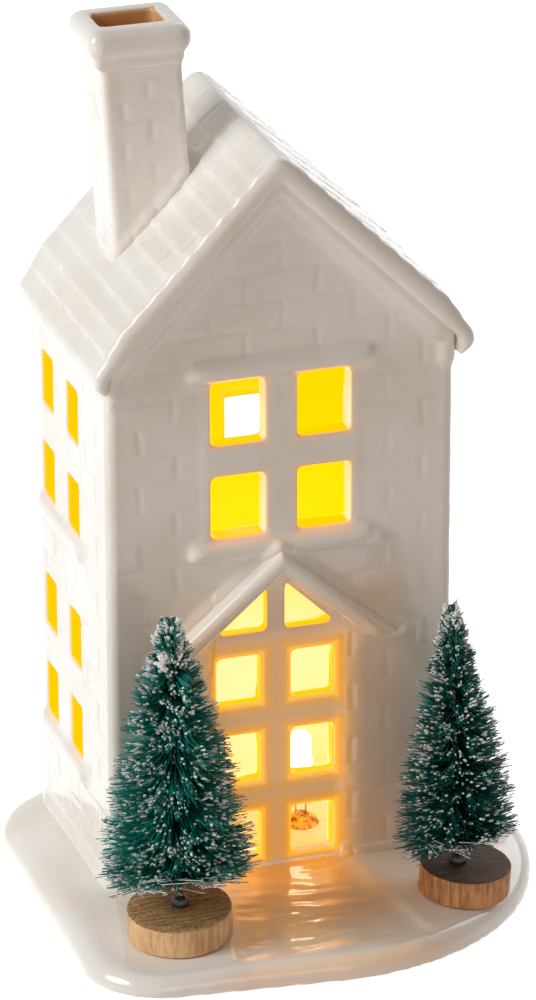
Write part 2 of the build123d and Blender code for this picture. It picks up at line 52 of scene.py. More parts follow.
# a socket that can be used in sums, for materials and for geometry trees
class Wire:
    def __init__(self, tree, socket=None):
        self.tree = tree
        self.socket = socket

    def node(self, kind, settings=None, inputs=None, out=0):  # any other node
        made = self.tree.nodes.new(kind)
        for name, value in (settings or {}).items():
            setattr(made, name, value)
        for key, value in (inputs or {}).items():
            if isinstance(value, Wire):
                self.tree.links.new(value.socket, made.inputs[key])
            else:
                made.inputs[key].default_value = value
        return Wire(self.tree, made.outputs[out] if made.outputs else None)

    def out(self, name):  # another output of the same node
        return Wire(self.tree, self.socket.node.outputs[name])

    def maths(self, operation, first, second=0.0):
        return self.node("ShaderNodeMath", {"operation": operation}, {0: first, 1: second})

    def __add__(self, other):
        return self.maths("ADD", self, other)

    def __radd__(self, other):
        return self.maths("ADD", other, self)

    def __sub__(self, other):
        return self.maths("SUBTRACT", self, other)

    def __rsub__(self, other):
        return self.maths("SUBTRACT", other, self)

    def __mul__(self, other):
        return self.maths("MULTIPLY", self, other)

    def __rmul__(self, other):
        return self.maths("MULTIPLY", other, self)

    def __truediv__(self, other):
        return self.maths("DIVIDE", self, other)

    def __rtruediv__(self, other):
        return self.maths("DIVIDE", other, self)

    def __pow__(self, other):
        return self.maths("POWER", self, other)

    def __mod__(self, other):
        return self.maths("FLOORED_MODULO", self, other)

    def __gt__(self, other):
        return self.maths("GREATER_THAN", self, other)

    def __lt__(self, other):
        return self.maths("LESS_THAN", self, other)

    def __abs__(self):
        return self.maths("ABSOLUTE", self)

    def floor(self):
        return self.maths("FLOOR", self)

    def least(self, other):
        return self.maths("MINIMUM", self, other)

    def most(self, other):
        return self.maths("MAXIMUM", self, other)

    def ease(self, low, high, first=0.0, last=1.0):  # soft step from first to last
        ends = {"Value": self, 1: low, 2: high, 3: first, 4: last}
        return self.node("ShaderNodeMapRange", {"interpolation_type": "SMOOTHSTEP"}, ends)

    def fade(self, low, high, first=1.0):  # soft step from first down to nothing
        return self.ease(low, high, first, 0.0)

    def tint(self, first, last):  # this number mixes two colours
        return self.node("ShaderNodeMix", {"data_type": "RGBA"}, {0: self, 6: first, 7: last}, 2)

    def axes(self):  # x, y and z of a vector
        split = self.node("ShaderNodeSeparateXYZ", None, {0: self})
        return split, split.out("Y"), split.out("Z")

    def vector(self, x, y, z):
        return self.node("ShaderNodeCombineXYZ", None, {0: x, 1: y, 2: z})

    def scaled(self, factor):
        return self.node("ShaderNodeVectorMath", {"operation": "SCALE"}, {0: self, "Scale": factor})

    def plus(self, other):
        return self.node("ShaderNodeVectorMath", {"operation": "ADD"}, {0: self, 1: other})

    def dot(self, other):
        return self.node("ShaderNodeVectorMath", {"operation": "DOT_PRODUCT"}, {0: self, 1: other}, "Value")


def linear(red, green, blue):  # a colour as seen, from 0 to 255, as the shader takes it
    seen = [channel / 255 for channel in (red, green, blue)]
    return (*[c / 12.92 if c <= 0.04045 else ((c + 0.055) / 1.055) ** 2.4 for c in seen], 1.0)


def makeFinish(name, paint):
    material = bpy.data.materials.new(name)
    material.use_nodes = True
    shader = material.node_tree.nodes["Principled BSDF"]
    bench = Wire(material.node_tree)
    for key, value in paint(bench).items():
        if isinstance(value, Wire):
            bench.tree.links.new(value.socket, shader.inputs[key])
        else:
            shader.inputs[key].default_value = value
    return material


def objectPlace(bench):  # place on the object, in mm
    return bench.node("ShaderNodeTexCoord", None, None, "Object").scaled(perMetre)


def noise(bench, place, size, detail=3.0, out=0):  # size is the grain, in the unit of place
    return bench.node("ShaderNodeTexNoise", None, {"Vector": place, "Scale": 1 / size, "Detail": detail}, out)


midTones = (0.3, 0.7)  # the part of a noise that most of it lies in


def bump(bench, height, depth):  # depth in mm
    return bench.node("ShaderNodeBump", None, {"Strength": 1.0, "Distance": depth * mm, "Height": height})


socketKinds = {
    float: "NodeSocketFloat", int: "NodeSocketInt", tuple: "NodeSocketVector",
    bpy.types.Object: "NodeSocketObject",
}


def newRecipe(name, sizes):  # a geometry tree with one named input for each size
    tree = bpy.data.node_groups.new(name, "GeometryNodeTree")
    tree.interface.new_socket("Geometry", in_out="OUTPUT", socket_type="NodeSocketGeometry")
    tree.interface.new_socket("Geometry", in_out="INPUT", socket_type="NodeSocketGeometry")
    for label, value in sizes.items():
        tree.interface.new_socket(label, in_out="INPUT", socket_type=socketKinds[type(value)])
    source = tree.nodes.new("NodeGroupInput")
    return tree, Wire(tree), {socket.name: Wire(tree, socket) for socket in source.outputs if socket.name}


def endRecipe(geometry, material):
    geometry = geometry.node("GeometryNodeRealizeInstances", None, {"Geometry": geometry})
    geometry = geometry.node("GeometryNodeSetMaterial", None, {"Geometry": geometry, "Material": material})
    geometry.node("NodeGroupOutput", None, {"Geometry": geometry})


def newObject(name, mesh):
    piece = bpy.data.objects.new(name, mesh)
    scene.collection.objects.link(piece)
    return piece


def addRecipe(piece, tree, sizes):
    modifier = piece.modifiers.new(tree.name, "NODES")
    modifier.node_group = tree
    for socket in tree.interface.items_tree:
        if socket.in_out == "INPUT" and socket.name in sizes:
            modifier[socket.identifier] = sizes[socket.name]


def settle(piece):  # the modifiers' result becomes the piece's own mesh
    depsgraph = bpy.context.evaluated_depsgraph_get()
    depsgraph.update()
    result = bpy.data.meshes.new_from_object(piece.evaluated_get(depsgraph))
    piece.modifiers.clear()
    piece.data = result
    result.name = piece.name
    return piece


def smoothShade(piece):
    piece.data.polygons.foreach_set("use_smooth", [True] * len(piece.data.polygons))


def setMaterial(piece, material):
    piece.data.materials.clear()
    piece.data.materials.append(material)


def kept(piece, body, slot, *nodes):  # parent a finished piece to its body and hide the nodes it stands for
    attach(piece, body)
    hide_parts(*nodes)
    print("piece", piece.name, len(piece.data.polygons), "faces")


# camera, from the photograph's own vanishing lines
camera = {"place": (-398.9, -1220.1, 649.7), "yaw": 17.98, "pitch": 23.31, "roll": 0.12, "lens": 216.9}


def setCamera(view):
    lens = bpy.data.cameras.new("camera")
    lens.sensor_fit = "AUTO"
    lens.sensor_width = 36.0
    lens.lens = view["lens"]
    lens.clip_end = 50.0
    viewer = bpy.data.objects.new("camera", lens)
    scene.collection.objects.link(viewer)
    turn = Matrix.Rotation(math.radians(-view["yaw"]), 4, "Z")
    turn = turn @ Matrix.Rotation(math.radians(90 - view["pitch"]), 4, "X")
    turn = turn @ Matrix.Rotation(math.radians(-view["roll"]), 4, "Z")
    viewer.matrix_world = Matrix.Translation(Vector(view["place"]) * mm) @ turn
    scene.camera = viewer


setCamera(camera)
print("camera set")

# house, in mm
house = {
    "left": -45.1, "right": 38.9, "front": -10.8, "back": 47.2, "wall": 5.5,
    "ridge": (-4.6, 188.0), "eaveLeft": (-49.7, 140.5), "eaveRight": (43.5, 140.5),
    "lamp": (8.1, 9.2, 29.0), "doorTop": 84.0, "doorSink": 1.5,
}
upperPanes = {"middle": (-3.1, 112.9), "apart": (10.4, 11.6), "half": (6.4, 7.7)}
doorPanes = {"middle": (-4.0, 36.05), "apart": 9.0, "rise": 20.2, "half": (5.2, 6.05)}
walk = {"x": -3.1, "half": 15.5, "flare": 0.197}
flue = {"x": -25.5, "y": 20.2, "lean": 4.2 / 70.9, "from": 140.5, "half": (7.5, 4.8)}


def slopeLine(eave):  # a roof slope's eave, direction up the slope and outward normal, in x and z
    low = Vector(house[eave])
    along = (Vector(house["ridge"]) - low).normalized()
    out = Vector((-along.y, along.x)) if along.x > 0 else Vector((along.y, -along.x))
    return low, along, out


def belowRoof(place):  # depth under both slopes' tops
    depth = None
    for eave in ("eaveLeft", "eaveRight"):
        low, _, out = slopeLine(eave)
        under = low.dot(out) - place.dot((out.x, 0.0, out.y))
        depth = under if depth is None else depth.least(under)
    return depth


def paneDistance(x, z):  # distance on the front from the upper panes and from the door's panes
    upX = abs(abs(x - upperPanes["middle"][0]) - upperPanes["apart"][0]) - upperPanes["half"][0]
    upZ = abs(abs(z - upperPanes["middle"][1]) - upperPanes["apart"][1]) - upperPanes["half"][1]
    row = ((z - doorPanes["middle"][1]) / doorPanes["rise"] + 0.5).floor().most(-1.0).least(1.0)
    doorX = abs(abs(x - doorPanes["middle"][0]) - doorPanes["apart"]) - doorPanes["half"][0]
    doorZ = abs(z - doorPanes["middle"][1] - row * doorPanes["rise"]) - doorPanes["half"][1]
    return upX.most(upZ), doorX.most(doorZ)


turned = (0.4, 0.7)  # a normal's share along an axis, from none to all


def revealGlow(place, normal):  # how much painted lamp glow a face of a window opening gets, and which jambs get painted cream light instead
    x, y, z = place.axes()
    nx, ny, nz = normal.axes()
    door = z.fade(house["doorTop"] - 1.0, house["doorTop"] + 1.0)
    depthX = (x - house["left"]).least(house["right"] - x)
    depthY = (y - house["front"] - door * house["doorSink"]).least(house["back"] - y)
    sideJamb = abs(ny).ease(*turned) * depthX.ease(0.1, 0.5) * depthY.ease(4.6, 5.2)
    endJamb = abs(nx).ease(*turned) * depthY.ease(0.2, 0.8) * depthX.ease(5.8, 6.4)
    shaded = (1 - door) * nx.fade(-0.7, -0.4) * endJamb
    shelf = abs(nz).ease(*turned) * depthX.least(depthY).ease(0.2, 0.8) * z.ease(10.5, 11.5)
    return sideJamb.most(endJamb).most(shelf), shaded


# glaze colours: white, warm and pinhole are the glaze's own; the others are painted light: warm lamp tints for
# the inside, the flue, the spill and the walk, lamp glow colours for emission, and a cream light for the shaded
# jambs
glaze = {
    "white": linear(246, 242, 236), "warm": linear(240, 233, 222), "inside": linear(70, 42, 8),
    "pinhole": linear(96, 74, 52), "paintedSpill": linear(250, 172, 52), "flue": linear(222, 172, 118),
    "near": (1.8, 0.94, 0.4, 1.0), "middle": (1.8, 0.82, 0.0, 1.0), "far": (2.0, 0.7, 0.0, 1.0),
    "edge": (1.7, 0.61, 0.0, 1.0), "paintedJambLight": (0.62, 0.5, 0.36, 1.0), "halo": (0.34, 0.16, 0.0, 1.0),
    "rim": (0.95, 0.44, 0.0, 1.0), "path": linear(255, 190, 60),
}
lampLight = {  # from and to, in mm, and for what fades the strength that it starts from
    "near": (32.0, 54.0), "far": (54.0, 88.0), "mottle": 10.0, "mottleSize": 25.0, "underRoof": (4.6, 5.4),
    "paneHalo": (-0.4, 2.4, 0.3), "doorHalo": (-0.5, 8.0, 0.95), "doorRim": (-0.2, 1.7, 0.8),
    "doorSpill": (2.0, 26.0, 0.36), "creamShare": 0.6,
    "walkSide": (-5.0, 6.0), "walkTop": (13.0, 16.0), "walkRun": (0.0, 42.0, 0.8),
}
gloss = {
    "cloudSize": 22.0, "pinholeSpacing": 13.0, "pinholeSize": (0.008, 0.016), "pinholeShare": 0.7,
    "peel": 0.02, "peelSize": 1.6, "roughSize": 9.0, "rough": (0.16, 0.3), "specular": 0.15,
    "coat": 0.5, "coatRough": 0.03, "coatIor": 1.6, "baseCoat": 0.75, "baseCoatIor": 1.8,
}


def glazePaint(bench, coat):
    place = objectPlace(bench)
    x, y, z = place.axes()
    normal = bench.node("ShaderNodeNewGeometry", None, None, "Normal")
    _, ny, nz = normal.axes()
    sides = (x - house["left"]).least(house["right"] - x)
    ends = (y - house["front"]).least(house["back"] - y)
    below = belowRoof(place)
    inner = sides.least(ends).least(below).ease(house["wall"] - 0.7, house["wall"] - 0.2) * z.ease(5.0, 8.0)
    underRoof = below.ease(*lampLight["underRoof"])
    edge, shaded = revealGlow(place, normal)
    edge = edge * underRoof
    shaded = shaded * underRoof
    lit = inner.most(edge * (1 - shaded))

    # painted lamp light: the inner faces and the reveals glow as emission, warmer further from the lamp
    reach = bench.vector(*house["lamp"]).plus(place.scaled(-1.0))
    far = bench.node("ShaderNodeVectorMath", {"operation": "LENGTH"}, {0: reach}, "Value")
    far = far + (noise(bench, place, lampLight["mottleSize"]) - 0.5) * lampLight["mottle"]
    glow = far.ease(*lampLight["near"]).tint(glaze["near"], glaze["middle"])
    glow = far.ease(*lampLight["far"]).tint(glow, glaze["far"])
    glow = (edge * (1 - inner)).tint(glow, glaze["edge"])

    # painted lamp light round the panes and the door on the front, and spilt on the walk
    upper, door = paneDistance(x, z)
    outward = ny.fade(-0.8, -0.3) * (y - house["front"]).fade(1.8, 2.6)
    halo = upper.fade(*lampLight["paneHalo"]).most(door.fade(*lampLight["doorHalo"])) * outward * (1 - lit)
    spill = door.fade(*lampLight["doorSpill"]) * outward
    rim = door.fade(*lampLight["doorRim"]) * outward
    run = house["front"] - y
    onWalk = (walk["half"] + run * walk["flare"] - abs(x - walk["x"])).ease(*lampLight["walkSide"])
    onWalk = onWalk * z.fade(*lampLight["walkTop"]) * run.fade(*lampLight["walkRun"])
    onWalk = onWalk * nz.ease(0.3, 0.8) * run.ease(-0.5, 0.5)

    # white glaze with a few pinholes, then painted lamp light and glow
    colour = noise(bench, place, gloss["cloudSize"], 2.0).ease(0.35, 0.7).tint(glaze["white"], glaze["warm"])
    spots = {"Vector": place, "Scale": 1 / gloss["pinholeSpacing"]}
    cells = bench.node("ShaderNodeTexVoronoi", {"feature": "F1"}, spots, "Distance")
    colour = (cells.fade(*gloss["pinholeSize"]) * gloss["pinholeShare"]).tint(colour, glaze["pinhole"])
    # painted warm lamp light inside the flue
    middle = flue["x"] - (z - flue["from"]) * flue["lean"]
    bore = (abs(x - middle) - flue["half"][0]).most(abs(y - flue["y"]) - flue["half"][1])
    colour = (bore.fade(0.1, 0.5) * below.fade(-3.0, 0.0)).tint(colour, glaze["flue"])
    # painted spill of lamp light round the panes and the door
    colour = halo.most(spill).tint(colour, glaze["paintedSpill"])
    # painted warm spill of lamp light on the walk
    colour = onWalk.tint(colour, glaze["path"])
    # painted dark warm tint on the lamp-lit inside
    colour = lit.tint(colour, glaze["inside"])
    # painted glow round the panes and on the door's rim
    around = halo.tint((0.0, 0.0, 0.0, 1.0), glaze["halo"])
    around = rim.tint(around, glaze["rim"])
    # painted cream light on the shaded jambs
    around = (shaded * (1 - inner) * lampLight["creamShare"]).tint(around, glaze["paintedJambLight"])
    return {
        "Base Color": colour,
        "Roughness": noise(bench, place, gloss["roughSize"]).ease(0.3, 0.75, *gloss["rough"]),
        "Specular IOR Level": gloss["specular"],
        "Coat Weight": (1 - lit) * coat,
        "Coat Roughness": gloss["coatRough"],
        "Coat IOR": gloss["coatIor"],
        # the painted glow of the inside and the reveals, as emission
        "Emission Color": lit.tint(around, glow),
        "Emission Strength": 1.0,
        "Normal": bump(bench, noise(bench, place, gloss["peelSize"], 2.0), gloss["peel"]),
    }


def thinGlazePaint(bench):
    return glazePaint(bench, gloss["coat"])


def thickGlazePaint(bench):  # the glaze pools on the base
    return dict(glazePaint(bench, gloss["baseCoat"]), **{"Coat IOR": gloss["baseCoatIor"]})


glazeFinish = makeFinish("white_glaze", thinGlazePaint)
thickGlazeFinish = makeFinish("thick_glaze", thickGlazePaint)


def inBox(place, box):
    return all(low <= part / mm <= high for part, (low, high) in zip(place, box))


def melt(piece, passes, group=""):
    soften = piece.modifiers.new("melt", "SMOOTH")
    soften.vertex_group = group
    soften.iterations = passes


casting = {"weld": 0.002, "touch": 0.05}  # mm


def softenedSolid(name, node, cast, seats, soft=()):
    shell = bmesh.new()
    shell.from_mesh(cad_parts[node].data)
    bmesh.ops.remove_doubles(shell, verts=shell.verts, dist=casting["weld"] * mm)
    for neighbour, push in seats:  # faces that meet a neighbour are let into it
        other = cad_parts[neighbour].data
        surface = BVHTree.FromPolygons([v.co for v in other.vertices], [p.vertices[:] for p in other.polygons])
        for vert in shell.verts:
            if surface.find_nearest(vert.co, casting["touch"] * mm)[0] is not None:
                vert.co += Vector(push) * mm
    mesh = bpy.data.meshes.new(name)
    shell.to_mesh(mesh)
    shell.free()
    piece = newObject(name, mesh)
    remesh = piece.modifiers.new("cast", "REMESH")
    remesh.mode = "VOXEL"
    remesh.voxel_size = cast["voxel"] * mm
    settle(piece)
    if soft:  # these boxes are rounded further
        group = piece.vertex_groups.new(name="soft")
        chosen = [v.index for v in piece.data.vertices if any(inBox(v.co, box) for box in soft)]
        group.add(chosen, 1.0, "REPLACE")
        melt(piece, cast["softPasses"], "soft")
    melt(piece, cast["passes"])
    settle(piece)
    piece.vertex_groups.clear()
    return piece


# brickwork pressed into the outer skin
brickwork = {
    "Length": 17.05, "Course": 7.05, "Joint X": 5.6, "Joint Z": 80.7, "Gap": 2.4, "Depth": 0.28, "Bed": 0.7,
    "Waver Along": 2.4, "Waver Up": 1.5, "Unevenness": 0.14, "Roof Fade": 7.0,
    "Left": house["left"], "Right": house["right"], "Front": house["front"], "Back": house["back"],
    "Lean": 0.0, "Lean From": 0.0, "Low": -20.0, "High": 300.0,
    "Front Panel": (-3.1, -10.8, 112.9), "Front Panel Half": (18.8, 4.0, 21.0),
    "Low Side Panel": (-3.1, 26.9, 49.1), "High Side Panel": (-3.1, 26.9, 106.1),
    "Side Panel Half": (80.0, 16.2, 19.4),
    "Back Panel": (-3.1, 47.2, 109.6), "Back Panel Half": (17.2, 4.0, 20.4), "Seed": 3.0,
}
panelPairs = (
    ("Front Panel", "Front Panel Half"), ("Low Side Panel", "Side Panel Half"),
    ("High Side Panel", "Side Panel Half"), ("Back Panel", "Back Panel Half"),
)


def pointFields(bench):  # each point's place, in mm, and normal
    return bench.node("GeometryNodeInputPosition").scaled(perMetre), bench.node("GeometryNodeInputNormal")


def dice(bench, code):  # a number of its own for each code
    return bench.node("ShaderNodeTexWhiteNoise", {"noise_dimensions": "3D"}, {"Vector": code})


def skinFields(bench, size):  # place, upright place, normal and depth behind the outer faces
    place, normal = pointFields(bench)
    x, y, z = place.axes()
    x = x + size["Lean"] * (z - size["Lean From"])
    depthX = (x - size["Left"]).least(size["Right"] - x)
    depthY = (y - size["Front"]).least(size["Back"] - y)
    return place, (x, y, z), normal, depthX, depthY


def moveSkin(bench, size, normal, rise, material):
    offset = normal.scaled(rise * mm)
    geometry = bench.node("GeometryNodeSetPosition", None, {"Geometry": size["Geometry"], "Offset": offset})
    endRecipe(geometry, material)


def brickRecipe(sizes, material):
    tree, bench, size = newRecipe("brickwork", sizes)
    place, (x, y, z), normal, depthX, depthY = skinFields(bench, size)
    depth = depthX.least(depthY)
    onBack = normal.axes()[1] > 0.5
    onLeft = (x < (size["Left"] + size["Right"]) * 0.5) * (1 - onBack)
    run = y - size["Front"]
    leftAlong = x - run
    rightAlong = x + run
    backAlong = size["Right"] * 2 - x + run
    along = onBack * backAlong + onLeft * leftAlong + (1 - onBack - onLeft) * rightAlong
    wave = noise(bench, place, 10.0, 2.5, "Color")
    waveX, waveY, waveZ = wave.axes()
    along = along + (waveX - 0.5) * size["Waver Along"]
    up = z + (waveY - 0.5) * size["Waver Up"]
    row = ((up - size["Joint Z"]) / size["Course"]).floor()
    shifted = along - size["Joint X"] + (row % 2.0) * size["Length"] * 0.5
    brick = (shifted / size["Length"]).floor()
    across = shifted - brick * size["Length"]
    rise = up - size["Joint Z"] - row * size["Course"]
    toEnd = across.least(size["Length"] - across)
    toBed = rise.least(size["Course"] - rise)
    half = size["Gap"] * 0.5
    joint = toEnd.fade(0.0, half).most(toBed.fade(0.0, half) * size["Bed"])
    joint = joint * waveZ.ease(0.32, 0.58, 0.35, 1.0)
    code = bench.vector(row, brick, size["Seed"])
    lift = dice(bench, code) - 1.0
    tilt = dice(bench, code.plus((7.0, 3.0, 1.0))) - 0.5
    slant = tilt * (across / size["Length"] - 0.5)
    relief = (lift + slant - 0.5) * size["Unevenness"] - joint * size["Depth"]
    skin = depth.fade(0.5, 1.0) * depth.ease(-0.5, -0.2) * depthX.most(depthY).ease(1.0, 5.0, 0.3, 1.0)
    skin = skin * z.ease(size["Low"], size["Low"] + 1.0) * z.fade(size["High"] - 1.0, size["High"])
    skin = skin * belowRoof(place).ease(size["Roof Fade"], size["Roof Fade"] + 5.0)
    for middle, halfSize in panelPairs:
        cx, cy, cz = size[middle].axes()
        hx, hy, hz = size[halfSize].axes()
        clear = (abs(x - cx) - hx).most(abs(y - cy) - hy).most(abs(z - cz) - hz)
        skin = skin * clear.ease(-0.8, 1.6)
    moveSkin(bench, size, normal, relief * skin, material)
    return tree


# slip smeared into the corner where one piece meets another
skinSizes = ("Left", "Right", "Front", "Back", "Lean", "Lean From")
coves = {
    "roof": {"Width": 4.2, "Side Width": 1.8, "Rise": 3.4, "Back Share": 0.3, "Overlap": 1.0},
    "door_hood": {"Width": 2.0, "Side Width": 2.0, "Rise": 1.4, "Back Share": 1.0, "Overlap": 0.4},
    "base_plinth": {"Width": 2.6, "Side Width": 2.6, "Rise": 1.8, "Back Share": 1.0, "Overlap": 0.2},
}


def coveSizes(neighbour, bricks):
    sizes = {"Neighbour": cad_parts[neighbour], **coves[neighbour]}
    sizes.update({label: bricks[label] for label in skinSizes})
    return sizes


def coveRecipe(sizes, material):
    tree, bench, size = newRecipe("cove", sizes)
    _, _, normal, depthX, depthY = skinFields(bench, size)
    other = bench.node("GeometryNodeObjectInfo", None, {"Object": size["Neighbour"]}, "Geometry")
    away = bench.node("GeometryNodeProximity", {"target_element": "FACES"}, {0: other}, "Distance") * perMetre
    ny = normal.axes()[1]
    width = size["Side Width"] + (size["Width"] - size["Side Width"]) * abs(ny).ease(0.4, 0.8)
    near = 1 - (away - size["Overlap"]) / width
    rise = near.ease(0.0, 1.0) * size["Rise"] * width / size["Width"]
    rise = rise * ny.ease(0.2, 0.6, 1.0, size["Back Share"])
    rise = rise * depthX.most(depthY).ease(0.0, 6.0, 0.3, 1.0)
    moveSkin(bench, size, normal, rise * depthX.least(depthY).fade(0.5, 1.0), material)
    return tree


brickTree = brickRecipe(brickwork, glazeFinish)
coveTree = coveRecipe(coveSizes("roof", brickwork), glazeFinish)

walls = {"voxel": 0.6, "passes": 2, "softPasses": 22, "insideShare": 0.36, "split": 80.7}
softBars = (  # lintel, sills and door posts, each from and to in x, y and z
    ((-27.0, 20.8), (-14.0, -10.3), (131.0, 141.0)), ((-27.0, 20.8), (-14.0, -10.3), (84.5, 95.0)),
    ((-48.0, -44.8), (6.0, 48.0), (20.0, 32.0)), ((-48.0, -44.8), (6.0, 48.0), (77.0, 89.0)),
    ((38.6, 41.0), (6.0, 48.0), (20.0, 32.0)), ((38.6, 41.0), (6.0, 48.0), (77.0, 89.0)),
    ((-24.0, 18.0), (46.9, 50.0), (82.0, 92.0)), ((-21.5, -18.0), (-12.0, -8.0), (8.0, 80.0)),
    ((10.0, 13.5), (-12.0, -8.0), (8.0, 80.0)),
)


def thinInside(piece, share):  # fewer faces where the inner walls are plain
    group = piece.vertex_groups.new(name="inside")
    inner = [
        v.index for v in piece.data.vertices
        if min(v.co.x / mm - house["left"], house["right"] - v.co.x / mm,
               v.co.y / mm - house["front"], house["back"] - v.co.y / mm) > house["wall"] - 0.6
    ]
    group.add(inner, 1.0, "REPLACE")
    thin = piece.modifiers.new("thin", "DECIMATE")
    thin.vertex_group = "inside"
    thin.vertex_group_factor = 10.0
    thin.ratio = share
    settle(piece)
    piece.vertex_groups.clear()


def cutStorey(source, name, level, keepAbove):  # one closed part of the walls above or below a bed joint
    part = bmesh.new()
    part.from_mesh(source.data)
    everything = part.verts[:] + part.edges[:] + part.faces[:]
    cut = bmesh.ops.bisect_plane(
        part, geom=everything, dist=1e-7, plane_co=(0, 0, level * mm), plane_no=(0, 0, 1),
        clear_inner=keepAbove, clear_outer=not keepAbove)
    rim = [e for e in cut["geom_cut"] if isinstance(e, bmesh.types.BMEdge)]
    bmesh.ops.triangle_fill(part, edges=rim, use_beauty=True, normal=(0, 0, -1 if keepAbove else 1))
    for edge in rim:
        edge.smooth = False
    mesh = bpy.data.meshes.new(name)
    part.to_mesh(mesh)
    part.free()
    storey = newObject(name, mesh)
    smoothShade(storey)
    setMaterial(storey, glazeFinish)
    return storey


def makeWalls(size):
    whole = softenedSolid("walls_whole", "house_walls", size,
                          [("roof", (0, 0, 1.5)), ("base_plinth", (0, 0, -1.5))], softBars)
    addRecipe(whole, brickTree, brickwork)
    for neighbour in coves:
        addRecipe(whole, coveTree, coveSizes(neighbour, brickwork))
    settle(whole)
    thinInside(whole, size["insideShare"])
    for name, above in (("lower_storey", False), ("upper_storey", True)):
        kept(cutStorey(whole, name, size["split"], above), "root", "glaze", "house_walls")
    bpy.data.objects.remove(whole)


makeWalls(walls)
print("walls done")

# chimney, with smaller bricks
chimney = {"voxel": 0.45, "passes": 9, "lastPasses": 6}
chimneyBricks = dict(brickwork)
chimneyBricks.update({
    "Length": 12.3, "Course": 5.1, "Joint X": -30.0, "Joint Z": 199.0, "Gap": 2.2, "Depth": 0.3, "Bed": 0.9,
    "Unevenness": 0.16, "Roof Fade": -300.0, "Left": -34.65, "Right": -15.15, "Front": 12.2, "Back": 28.2,
    "Lean": flue["lean"], "Lean From": flue["from"], "Low": 100.0, "High": 201.4,
})


def makeChimney(size):
    piece = softenedSolid("chimney_stack", "chimney", size, [("roof", (0, 0, -1.6))])
    addRecipe(piece, brickTree, chimneyBricks)
    sizes = coveSizes("roof", chimneyBricks)
    sizes.update({"Width": 1.8, "Side Width": 1.8, "Rise": 0.9})
    addRecipe(piece, coveTree, sizes)
    melt(piece, size["lastPasses"])
    settle(piece)
    smoothShade(piece)
    kept(piece, "root", "glaze", "chimney")


makeChimney(chimney)

# roof, with the courses split into tiles
roof = {"voxel": 0.55, "passes": 8, "softPasses": 18}
softVerge = ((-60.0, 60.0), (-16.0, -11.2), (100.0, 200.0))
shingles = {
    "Tile Width": 12.0, "Course": 6.01, "First Course": 10.0, "Gap": 2.8, "Depth": 0.24, "Unevenness": 0.18,
    "Waver Along": 3.0, "Waver Up": 1.2, "Verge Front": -15.3, "Verge Back": 49.0, "Seed": 5.0,
}


def shingleRecipe(sizes, material):
    tree, bench, size = newRecipe("shingles", sizes)
    place, normal = pointFields(bench)
    y = place.axes()[1]
    wave = noise(bench, place, 6.25, 2.0, "Color")
    waveX, waveY, waveZ = wave.axes()
    relief = None
    for eave in ("eaveLeft", "eaveRight"):
        low, along, out = slopeLine(eave)
        up = place.dot((along.x, 0.0, along.y)) - low.dot(along) - size["First Course"]
        up = up + (waveY - 0.5) * size["Waver Up"]
        row = (up / size["Course"]).floor()
        shifted = y + (row % 2.0) * size["Tile Width"] * 0.5 + low.x + (waveX - 0.5) * size["Waver Along"]
        tile = (shifted / size["Tile Width"]).floor()
        across = shifted - tile * size["Tile Width"]
        toSide = across.least(size["Tile Width"] - across)
        joint = 1 - toSide.ease(0.0, size["Gap"] * 0.5)
        code = bench.vector(row, tile, size["Seed"] + low.x)
        lift = dice(bench, code) - 1.0
        upward = normal.dot((out.x, 0.0, out.y)).ease(0.75, 0.92)
        inset = (y - size["Verge Front"]).least(size["Verge Back"] - y).ease(1.2, 2.4)
        here = (lift - waveZ) * size["Unevenness"] - joint * size["Depth"] * waveZ.ease(0.35, 0.6, 0.3, 1.0)
        here = here * upward * inset
        relief = here if relief is None else relief + here
    moveSkin(bench, size, normal, relief, material)
    return tree


shingleTree = shingleRecipe(shingles, glazeFinish)


def makeRoof(size):
    piece = softenedSolid("shingled_roof", "roof", size, [], [softVerge])
    addRecipe(piece, shingleTree, shingles)
    settle(piece)
    smoothShade(piece)
    kept(piece, "root", "glaze", "roof")


makeRoof(roof)

hood = {"voxel": 0.4, "passes": 12}
base = {"voxel": 0.8, "passes": 12}
snow = {
    "Swell": 0.5, "Swell Size": 26.0, "Walk X": walk["x"], "Walk Half": walk["half"],
    "Walk Flare": walk["flare"], "Walk From": house["front"], "Walk To": -51.5, "Ripple": 1.3,
}


def makeHood(size):
    piece = softenedSolid("pitched_hood", "door_hood", size, [("house_walls", (0, 1.2, 0))])
    smoothShade(piece)
    setMaterial(piece, glazeFinish)
    kept(piece, "root", "glaze", "door_hood")


def snowRecipe(sizes, material):
    tree, bench, size = newRecipe("snow", sizes)
    place, normal = pointFields(bench)
    x, y, _ = place.axes()
    swell = noise(bench, place, size["Swell Size"], 1.0)
    run = size["Walk From"] - y
    half = size["Walk Half"] + run * size["Walk Flare"]
    onWalk = (half - abs(x - size["Walk X"])).ease(0.0, 5.0)
    onWalk = onWalk * run.ease(0.0, 4.0) * (y - size["Walk To"]).ease(0.0, 4.0)
    streak = bench.vector(x * 0.09 + y * 0.04, y * 0.26 + x * 0.03, 0.0)
    ripple = noise(bench, streak, 1.0, 1.5)
    rise = (swell.least(1.0) - 1.0) * size["Swell"] + (ripple - 0.8) * size["Ripple"] * onWalk
    moveSkin(bench, size, normal, rise * normal.axes()[2].ease(0.3, 0.8), material)
    return tree


def makeBase(size):
    piece = softenedSolid("snow_base", "base_plinth", size, [])
    addRecipe(piece, snowRecipe(snow, thickGlazeFinish), snow)
    settle(piece)
    smoothShade(piece)
    kept(piece, "root", "glaze", "base_plinth")


makeHood(hood)
makeBase(base)
print("ceramic done")

# trees
fibre = {"shadow": linear(0, 10, 10), "green": linear(0, 76, 70), "light": linear(12, 172, 156)}


